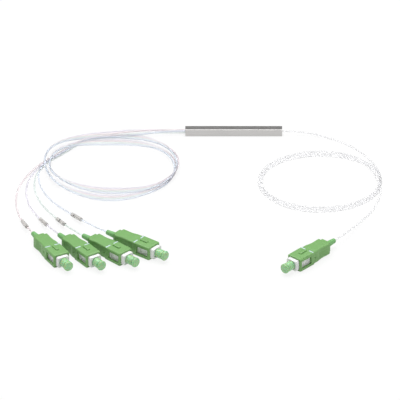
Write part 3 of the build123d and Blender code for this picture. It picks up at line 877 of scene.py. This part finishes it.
# The plug frames: white moulded inner housings with a round bore at the nose.
# A ramped pocket in each side takes the socket's latches and lugs above and below guide the grip.
FRAME_HALF = (3.3, 2.8)
FRAME_CORNER = 0.7
FRAME_CORNER_STEPS = 2
FRAME_EASE, FRAME_EASE_ANGLE = 0.06, 50.0
EASE_SEGMENTS = 2
FRAME_SIDE_PLACES = [0.0, 0.7, 1.35, 1.9]
FRAME_TOP_PLACES = [0.0, 0.9, 1.8]
FRAME_STATIONS = [2.0, 1.97, 1.85, -1.4, -3.2, -3.9, -3.9, -4.4, -4.4, -5.4, -7.2, -15.85, -16.0]
FRAME_INSETS = [0.15, 0.06, 0.0, 0.0, 0.0, 0.0, 0.0, 0.0, 0.0, 0.0, 0.0, 0.0, 0.15]
FRAME_BORES = [2.5, 2.38, 2.35, 2.35, 2.35, 2.35, 1.4, 1.4, 2.3, 2.3, 2.3, 2.3, 2.45]
LATCH_FRONT, LATCH_REAR, LATCH_HALF_HEIGHT, LATCH_DEPTH = -1.4, -7.2, 1.9, 0.5
FACE_MARGIN = 0.05
RAMP_FRONT, RAMP_REAR, RAMP_HALF_HEIGHT, RAMP_ROOT = -3.2, -5.4, 1.35, 0.1
LUG_ALONG, LUG_ACROSS, LUG_TOP, LUG_ROOT = (-8.6, -7.0), (-1.2, 1.2), 3.1, 0.2


def edge_walls(mask, columns, first, second):
    """Faces that join two copies of a grid along the rim of a masked region."""
    walls = []
    for row, column in zip(*np.nonzero(mask)):
        across = (column + 1) % columns
        corners = [
            row * columns + column,
            row * columns + across,
            (row + 1) * columns + column,
            (row + 1) * columns + across,
        ]
        sides = [
            (row == 0 or not mask[row - 1, column], corners[0], corners[1]),
            (row + 1 == len(mask) or not mask[row + 1, column], corners[2], corners[3]),
            (not mask[row, column - 1], corners[0], corners[2]),
            (not mask[row, across], corners[1], corners[3]),
        ]
        walls += [(first + a, first + b, second + b, second + a) for open_side, a, b in sides if open_side]
    return walls


def hollow_body(outer, inner, windows, pocket, pocket_floor):
    """A shell between an outer and an inner grid that share their places. Windows go through both; the pocket
    only sinks the outer one to its floor. Gives points, faces and which faces are floor."""
    rows, columns = outer.shape[:2]
    count = rows * columns
    faces = grid_faces(rows, columns).reshape(rows - 1, columns, 4)
    outside = faces[~windows & ~pocket]
    inside = faces[~windows] + count
    floor = faces[pocket] + 2 * count
    rim = np.arange(columns)
    onward = (rim + 1) % columns
    ring = np.column_stack([rim, onward, onward + count, rim + count])
    ends = [ring, ring + count - columns]
    walls = edge_walls(windows, columns, 0, count) + edge_walls(pocket, columns, 0, 2 * count)
    plain = np.vstack([outside, inside, *ends, np.array(walls, int).reshape(-1, 4)])
    points = np.vstack([outer.reshape(-1, 3), inner.reshape(-1, 3), pocket_floor.reshape(-1, 3)])
    return points, np.vstack([plain, floor]), np.repeat([0, 1], [len(plain), len(floor)])


def solid_box(x_range, y_range, z_range, shear=0.0):
    """The corners and faces of a box; shear pulls its front edge's outer side in to make a ramp."""
    corners = np.array([(x, y, z) for x in x_range for y in y_range for z in z_range], float)
    at_front = corners[:, 0] == max(x_range)
    farther = np.abs(corners[:, 1]) == max(np.abs(y_range))
    corners[at_front & farther, 1] -= np.sign(corners[at_front & farther, 1]) * shear
    faces = [(0, 1, 3, 2), (4, 5, 7, 6), (0, 1, 5, 4), (2, 3, 7, 6), (0, 2, 6, 4), (1, 3, 7, 5)]
    return corners, np.array(faces)


def face_middles(grid):
    """The middle of every four-cornered face of a grid that closes round its columns."""
    pairs = (grid + np.roll(grid, -1, axis=1)) / 2
    return (pairs[1:] + pairs[:-1]) / 2


def joined(pieces):
    """Several sets of points and faces as one."""
    starts = np.cumsum([0] + [len(points) for points, _ in pieces[:-1]])
    points = np.vstack([points for points, _ in pieces])
    return points, np.vstack([faces + start for (_, faces), start in zip(pieces, starts)])


def ease_edges(piece, width, angle_degrees):
    """Rounds a piece's sharp edges with a narrow bevel."""
    bevel = piece.modifiers.new("eased_edges", "BEVEL")
    bevel.width = width * MM
    bevel.segments = EASE_SEGMENTS
    bevel.limit_method = "ANGLE"
    bevel.angle_limit = math.radians(angle_degrees)
    bevel.use_clamp_overlap = False
    bevel.harden_normals = False


white_plastic = mottled("white_plastic", (0.80, 0.80, 0.80), (0.86, 0.86, 0.86), 420.0, 0.33, 0.02)
frame_rows, bore_rows = [], []
for station, inset, bore in zip(FRAME_STATIONS, FRAME_INSETS, FRAME_BORES):
    half_width, half_height = FRAME_HALF[0] - inset, FRAME_HALF[1] - inset
    ring = section(
        half_width, half_height, FRAME_CORNER, FRAME_SIDE_PLACES, FRAME_TOP_PLACES, FRAME_CORNER_STEPS
    )
    frame_rows.append(np.column_stack([np.full(len(ring), station), ring]))
    circle = ring / np.linalg.norm(ring, axis=1)[:, None] * bore
    bore_rows.append(np.column_stack([np.full(len(ring), station), circle]))
frame_outer, frame_inner = np.array(frame_rows), np.array(bore_rows)
middles = face_middles(frame_outer)
latch_mask = np.abs(middles[..., 1]) > FRAME_HALF[0] - FACE_MARGIN
latch_mask &= np.abs(middles[..., 2]) < LATCH_HALF_HEIGHT
latch_mask &= (middles[..., 0] < LATCH_FRONT) & (middles[..., 0] > LATCH_REAR)
latch_floor = frame_outer.copy()
latch_floor[..., 1] = np.sign(latch_floor[..., 1]) * (FRAME_HALF[0] - LATCH_DEPTH)
no_window = np.zeros_like(latch_mask)
frame_points, frame_faces, _ = hollow_body(frame_outer, frame_inner, no_window, latch_mask, latch_floor)
frame_pieces = [(frame_points, frame_faces)]
for side in (-1, 1):
    ramp_range = (side * (FRAME_HALF[0] - LATCH_DEPTH - RAMP_ROOT), side * FRAME_HALF[0])
    ramp_heights = (-RAMP_HALF_HEIGHT, RAMP_HALF_HEIGHT)
    ramp_shear = LATCH_DEPTH + FACE_MARGIN
    frame_pieces.append(solid_box((RAMP_REAR, RAMP_FRONT), ramp_range, ramp_heights, shear=ramp_shear))
    lug_heights = (side * (FRAME_HALF[1] - LUG_ROOT), side * LUG_TOP)
    frame_pieces.append(solid_box(LUG_ALONG, LUG_ACROSS, lug_heights))
frame_points, frame_faces = joined(frame_pieces)
used = np.unique(frame_faces)
frame_points, frame_faces = frame_points[used], np.searchsorted(used, frame_faces)
for index in range(len(PLUG_PLACES)):
    piece = add_piece(
        f"inner_frame_{index + 1}",
        in_place(index, frame_points),
        frame_faces,
        [white_plastic],
        "root",
        f"plug_frame_{index + 1}",
    )
    ease_edges(piece, FRAME_EASE, FRAME_EASE_ANGLE)

# The grips: green moulded push-pull housings that slide on the frames.
# Each has a window in both sides, a key on top, two white marks behind the key and hollowed finger rests.
GRIP_CORNER = 0.8
GRIP_CORNER_STEPS = 7
GRIP_TOP = 3.7
GRIP_EASE, GRIP_EASE_ANGLE = 0.07, 55.0
GRIP_SPECULAR = 0.35
GRIP_SIDE_PLACES = [0.0, 0.13, 0.26, 0.39, 0.52, 0.65, 0.9, 1.4, 2.0]
GRIP_TOP_PLACES = [0.0, 0.4, 0.8, 1.1]
GRIP_PROFILE = [
    (0.0, 3.85, 3.2),
    (-0.05, 4.05, 3.35),
    (-0.2, 4.27, 3.53),
    (-0.45, 4.43, 3.65),
    (-0.75, 4.5, 3.7),
    (-0.95, 4.5, 3.7),
    (-4.6, 4.5, 3.7),
    (-8.35, 4.5, 3.7),
    (-9.7, 4.5, 3.7),
    (-10.5, 4.5, 3.7),
    (-10.58, 4.49, 3.69),
    (-10.66, 4.44, 3.65),
    (-10.84, 4.26, 3.54),
    (-10.94, 4.2, 3.5),
]
DIMPLE_MIDDLE, DIMPLE_RADIUS, DIMPLE_DEPTH = -11.6, 0.65, 0.3
DIMPLE_STATIONS, DIMPLE_STEEPNESS = 11, 3.0
WAIST_HALF = (4.2, 3.5)
SCOOP_START, SCOOP_MIDDLE, SCOOP_END = -13.7, -18.6, -21.3
SCOOP_END_MARGIN = 0.01
SCOOP_HALF = (3.75, 3.3)
HEEL_HALF = (4.05, 3.15)
RIB_START, RIB_END, RIB_PITCH, RIB_HEIGHT = -14.4, -20.4, 0.75, 0.06
RIB_FADE, RIB_HALF_LENGTH, RIB_END_FADE = 0.3, 2.4, 0.5
RIB_STATIONS = 6
HEEL_PROFILE = [
    (-22.9, 4.05, 3.15),
    (-23.08, 4.01, 3.11),
    (-23.18, 3.92, 3.05),
    (-23.24, 3.8, 3.0),
    (-23.3, 3.1, 2.92),
    (-23.36, 2.98, 2.87),
    (-23.5, 2.95, 2.85),
    (-24.5, 2.95, 2.85),
    (-24.68, 2.91, 2.81),
    (-24.8, 2.78, 2.68),
]
CAVITY_HALF = (3.38, 2.88)
CAVITY_REAR = -16.08
CAVITY_CORNER = 0.15
GRIP_BORE = 2.45
FLAT_MARGIN = 0.02
WINDOW_FRONT, WINDOW_REAR, WINDOW_HALF_HEIGHT, WINDOW_OUTSIDE = -0.95, -8.35, 2.0, 4.3
MARK_FRONT, MARK_REAR, MARK_INNER, MARK_OUTER = -9.7, -10.5, 1.1, 4.2
MARK_ABOVE, MARK_DEPTH = 3.4, 0.15
KEY_FRONT, KEY_HALF_WIDTH, KEY_ROOT = -4.3, 0.8, 0.2
KEY_EDGE, KEY_EDGE_CUT = 0.12, 0.04
KEY_PROFILE = [(0.0, 0.45), (0.06, 0.56), (0.45, 0.77), (0.62, 0.8), (4.4, 0.8), (4.53, 0.77), (4.6, 0.66)]


def grip_sections():
    """Half width and half height of the grip along its axis, front to rear. The head, the step and the heel
    come from their profiles; the finger rest falls by the square of the way left to its deepest place, and
    rises by a smooth step from there to the heel."""
    steps = np.linspace(DIMPLE_RADIUS, -DIMPLE_RADIUS, DIMPLE_STATIONS)
    dimple = [(DIMPLE_MIDDLE + step, *WAIST_HALF) for step in steps]
    places = np.arange(SCOOP_START, SCOOP_END - SCOOP_END_MARGIN, -RIB_PITCH / RIB_STATIONS)
    falling = np.clip((places - SCOOP_MIDDLE) / (SCOOP_START - SCOOP_MIDDLE), 0.0, 1.0) ** 2
    rising = smooth_step((SCOOP_MIDDLE - places) / (SCOOP_MIDDLE - SCOOP_END))
    half = np.array(SCOOP_HALF)[None, :] + falling[:, None] * (np.array(WAIST_HALF) - SCOOP_HALF)
    half = half + rising[:, None] * (np.array(HEEL_HALF) - SCOOP_HALF)
    rest = np.column_stack([places, half])
    return np.vstack([GRIP_PROFILE, dimple, rest, HEEL_PROFILE])


green_plastic = mottled("green_plastic", (0.18, 0.385, 0.122), (0.20, 0.41, 0.138), 260.0, 0.38, 0.03)
green_plastic.node_tree.nodes["Principled BSDF"].inputs["Specular IOR Level"].default_value = GRIP_SPECULAR
mark_white = mottled("mark_white", (0.58, 0.70, 0.76), (0.64, 0.76, 0.81), 500.0, 0.35, 0.01)
sections = grip_sections()
before_step = sections[sections[:, 0] > CAVITY_REAR]
after_step = sections[sections[:, 0] <= CAVITY_REAR]
step_half = [
    np.interp(-CAVITY_REAR, -sections[:, 0], sections[:, 1]),
    np.interp(-CAVITY_REAR, -sections[:, 0], sections[:, 2]),
]
sections = np.vstack([before_step, [(CAVITY_REAR, *step_half)] * 2, after_step])
skin_rows, cavity_rows = [], []
for place, (station, half_width, half_height) in enumerate(sections):
    ring = section(half_width, half_height, GRIP_CORNER, GRIP_SIDE_PLACES, GRIP_TOP_PLACES, GRIP_CORNER_STEPS)
    skin_rows.append(np.column_stack([np.full(len(ring), station), ring]))
    if place <= len(before_step):
        hole = section(*CAVITY_HALF, CAVITY_CORNER, GRIP_SIDE_PLACES, GRIP_TOP_PLACES, GRIP_CORNER_STEPS)
    else:
        hole = ring / np.linalg.norm(ring, axis=1)[:, None] * GRIP_BORE
    cavity_rows.append(np.column_stack([np.full(len(ring), station), hole]))
skin, cavity = np.array(skin_rows), np.array(cavity_rows)
side_face = np.abs(skin[..., 1]) > sections[:, None, 1] - FLAT_MARGIN
from_dimple = np.hypot(skin[..., 0] - DIMPLE_MIDDLE, skin[..., 2])
dimple_depth = DIMPLE_DEPTH * np.clip((1.0 - from_dimple / DIMPLE_RADIUS) * DIMPLE_STEEPNESS, 0.0, 1.0)
rib_zone = smooth_step((RIB_START - skin[..., 0]) / RIB_FADE)
rib_zone = rib_zone * smooth_step((skin[..., 0] - RIB_END) / RIB_FADE)
rib_rise = RIB_HEIGHT * rib_zone * np.cos((skin[..., 0] - RIB_START) * 2 * math.pi / RIB_PITCH)
rib_rise = rib_rise * smooth_step((RIB_HALF_LENGTH - np.abs(skin[..., 2])) / RIB_END_FADE)
skin[..., 1] += np.where(side_face, np.sign(skin[..., 1]) * (rib_rise - dimple_depth), 0.0)
middles = face_middles(skin)
along = middles[..., 0]
window_mask = (np.abs(middles[..., 1]) > WINDOW_OUTSIDE) & (np.abs(middles[..., 2]) < WINDOW_HALF_HEIGHT)
window_mask &= (along < WINDOW_FRONT) & (along > WINDOW_REAR)
mark_mask = (middles[..., 2] > MARK_ABOVE) & (np.abs(middles[..., 1]) > MARK_INNER)
mark_mask &= np.abs(middles[..., 1]) < MARK_OUTER
mark_mask &= (along < MARK_FRONT) & (along > MARK_REAR)
mark_floor = skin.copy()
mark_floor[..., 2] = np.minimum(mark_floor[..., 2], GRIP_TOP - MARK_DEPTH)
grip_points, grip_faces, grip_finish = hollow_body(skin, cavity, window_mask, mark_mask, mark_floor)
used = np.unique(grip_faces)
grip_points, grip_faces = grip_points[used], np.searchsorted(used, grip_faces)

key_rows = []
for step, top in KEY_PROFILE:
    rise = top - KEY_ROOT
    half = [
        (-KEY_HALF_WIDTH, -KEY_ROOT),
        (-KEY_HALF_WIDTH, rise - KEY_EDGE),
        (-KEY_HALF_WIDTH + KEY_EDGE_CUT, rise - KEY_EDGE_CUT),
        (-KEY_HALF_WIDTH + KEY_EDGE, rise),
        (0.0, rise),
    ]
    outline = np.array(half + [(-y, z) for y, z in half[-2::-1]]) + (0.0, GRIP_TOP)
    key_rows.append(np.column_stack([np.full(len(outline), KEY_FRONT - step), outline]))
key_points = np.array(key_rows)
key_columns = key_points.shape[1]
end_middle = len(key_points) * key_columns
end_faces = []
for first, middle in [(0, end_middle), (end_middle - key_columns, end_middle + 1)]:
    for column in range(key_columns):
        end_faces.append((first + column, first + (column + 1) % key_columns, middle, middle))
key_faces = np.vstack([grid_faces(len(key_points), key_columns), end_faces]) + len(grip_points)
key_faces = [tuple(dict.fromkeys(face)) for face in key_faces.tolist()]
whole_points = np.vstack([grip_points, key_points.reshape(-1, 3), key_points[[0, -1]].mean(axis=1)])
whole_faces = grip_faces.tolist() + key_faces
whole_finish = np.concatenate([grip_finish, np.zeros(len(key_faces), int)])
for index in range(len(PLUG_PLACES)):
    piece = add_piece(
        f"push_pull_grip_{index + 1}",
        in_place(index, whole_points),
        whole_faces,
        [green_plastic, mark_white],
        f"grip_{index + 1}",
        f"grip_{index + 1}",
        finish_of_face=whole_finish,
    )
    ease_edges(piece, GRIP_EASE, GRIP_EASE_ANGLE)

# The boots: soft green rubber, pushed over the stop body's stem.
# A straight flange runs inside the grip and a taper guides the cord out of it.
BOOT_OUTLINE = [
    (-17.0, 1.5, 0.0),
    (-17.0, 2.25, 0.2),
    (-23.2, 2.25, 0.3),
    (-23.2, 1.8, 0.15),
    (-31.3, 1.25, 0.55),
    (-31.3, 0.5, 0.1),
    (-26.3, 0.5, 0.0),
    (-26.3, 0.27, 0.0),
    (-23.0, 0.27, 0.0),
    (-23.0, 1.5, 0.0),
]
boot_rubber = mottled("green_rubber", (0.17, 0.42, 0.14), (0.20, 0.46, 0.17), 320.0, 0.52, 0.04)
for index in range(len(PLUG_PLACES)):
    add_turned(index, "rubber_boot", BOOT_OUTLINE, boot_rubber, "root", "boot")

# The dust caps: soft translucent green plastic, pushed over the ferrules.
# A skirt enters the frame's bore and a knob at the end is for pulling it off.
CAP_OUTLINE = [
    (-2.4, 1.27, 0.05),
    (-2.4, 2.15, 0.2),
    (2.1, 2.15, 0.05),
    (2.1, 2.4, 0.15),
    (6.1, 2.4, 0.2),
    (6.1, 2.1, 0.15),
    (6.6, 2.1, 0.15),
    (6.6, 2.6, 0.3),
    (7.85, 2.6, 0.8),
    (7.85, 0.0, 0.0),
    (6.7, 0.0, 0.0),
    (6.7, 1.27, 0.1),
]
CAP_SOAKING, CAP_SOAKING_DEPTH = 0.35, 1.2
cap_plastic = mottled("cap_plastic", (0.30, 0.58, 0.27), (0.35, 0.63, 0.32), 300.0, 0.20, 0.02)
cap_skin = cap_plastic.node_tree.nodes["Principled BSDF"]
cap_skin.inputs["Subsurface Weight"].default_value = CAP_SOAKING
cap_skin.inputs["Subsurface Scale"].default_value = CAP_SOAKING_DEPTH * MM
for index in range(len(PLUG_PLACES)):
    body = f"dust_cap_{index + 1}"
    add_turned(index, "end_cap", CAP_OUTLINE, cap_plastic, body, "dust_cap")
